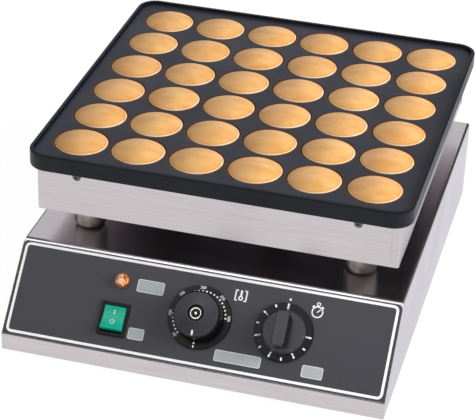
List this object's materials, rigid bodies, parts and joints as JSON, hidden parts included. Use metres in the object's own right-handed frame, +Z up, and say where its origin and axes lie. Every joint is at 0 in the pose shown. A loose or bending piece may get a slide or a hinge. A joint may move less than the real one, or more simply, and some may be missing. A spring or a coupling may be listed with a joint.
{
  "type": "pancake maker",
  "caption": "Countertop pancake maker: a square griddle plate of round cups on a heater box, carried on posts by a stainless cabinet with a sloping control panel.",
  "frame": {"origin": "on the standing surface, under the middle of the bounding box", "axes": "+Z up, -Y towards the control panel at the front, +X to the right seen from the front"},
  "size_m": [0.353, 0.436, 0.1758],
  "materials": {
    "stainless_sheet": "brushed stainless steel sheet",
    "polished_steel": "turned and polished stainless steel",
    "zinc_steel": "zinc-plated steel",
    "coated_casting": "cast aluminium with a dark non-stick coat",
    "baked_batter": "baked batter, golden with a browned face",
    "rubber": "moulded rubber",
    "overlay_film": "printed polycarbonate film",
    "black_plastic": "moulded black plastic",
    "green_plastic": "translucent green plastic",
    "red_plastic": "moulded red-brown plastic",
    "amber_plastic": "translucent amber plastic",
    "bright_badge": "turned aluminium badge, bare",
    "ceramic": "unglazed ceramic",
    "pale_plastic": "moulded pale plastic",
    "brass": "brass",
    "copper_tube": "drawn copper tube",
    "fibre_blanket": "ceramic fibre blanket",
    "bright_aluminium": "bright aluminium sheet",
    "heater_sheath": "heat-tinted steel sheath",
    "wire_sleeve": "silicone and glass-fibre sleeving"
  },
  "bodies": {
    "frame": {"cabinet_shell": "stainless_sheet", "rear_cover": "stainless_sheet", "bottom_cover": "stainless_sheet", "heater_box": "stainless_sheet", "spacer_posts": "polished_steel", "wire_conduit": "polished_steel", "rear_cover_screws": "zinc_steel", "bottom_cover_screws": "zinc_steel", "foot_screws": "zinc_steel", "thermostat_screws": "zinc_steel", "timer_screws": "zinc_steel", "post_bolts": "zinc_steel", "post_nuts": "zinc_steel", "box_screws": "zinc_steel", "clamp_bars": "zinc_steel", "clamp_screws": "zinc_steel", "terminal_screws": "zinc_steel", "lamp_nut": "zinc_steel", "griddle_plate": "coated_casting", "rubber_feet": "rubber", "control_overlay": "overlay_film", "switch_body": "black_plastic", "thermostat_scale_ring": "black_plastic", "cable_gland": "black_plastic", "gland_locknut": "black_plastic", "lamp_holder": "red_plastic", "lamp_lens": "amber_plastic", "thermostat_body": "ceramic", "terminal_block": "ceramic", "timer_body": "pale_plastic", "switch_tabs": "brass", "terminal_inserts": "brass", "earth_screw": "brass", "thermostat_bulb": "copper_tube", "thermostat_capillary": "copper_tube", "insulation_blanket": "fibre_blanket", "heat_reflector": "bright_aluminium", "heating_elements": "heater_sheath", "control_wires": "wire_sleeve", "heater_leads": "wire_sleeve", "element_links": "wire_sleeve"},
    "switch_rocker": {"switch_rocker": "green_plastic"},
    "thermostat_knob": {"thermostat_knob": "black_plastic", "thermostat_badge": "bright_badge", "thermostat_spindle": "zinc_steel"},
    "timer_knob": {"timer_knob": "black_plastic", "timer_spindle": "zinc_steel"},
    "pancakes": {"pancakes": "baked_batter"}
  },
  "joints": [
    {"name": "rocker_tip", "type": "hinge", "parent": "frame", "child": "switch_rocker", "pos_m": [-0.077, -0.19582, 0.0426], "axis": [1, 0, 0], "range_deg": [0, 22]},
    {"name": "thermostat_turn", "type": "hinge", "parent": "frame", "child": "thermostat_knob", "pos_m": [0, -0.18573, 0.05428], "axis": [0, 0.7126, -0.7016], "range_deg": [0, 264]},
    {"name": "timer_turn", "type": "hinge", "parent": "frame", "child": "timer_knob", "pos_m": [0.077, -0.18573, 0.05428], "axis": [0, 0.7126, -0.7016], "range_deg": [0, 267]},
    {"name": "pancakes_lift", "type": "slide", "parent": "frame", "child": "pancakes", "axis": [0, 0, 1], "range_m": [0, 0.04]}
  ]
}
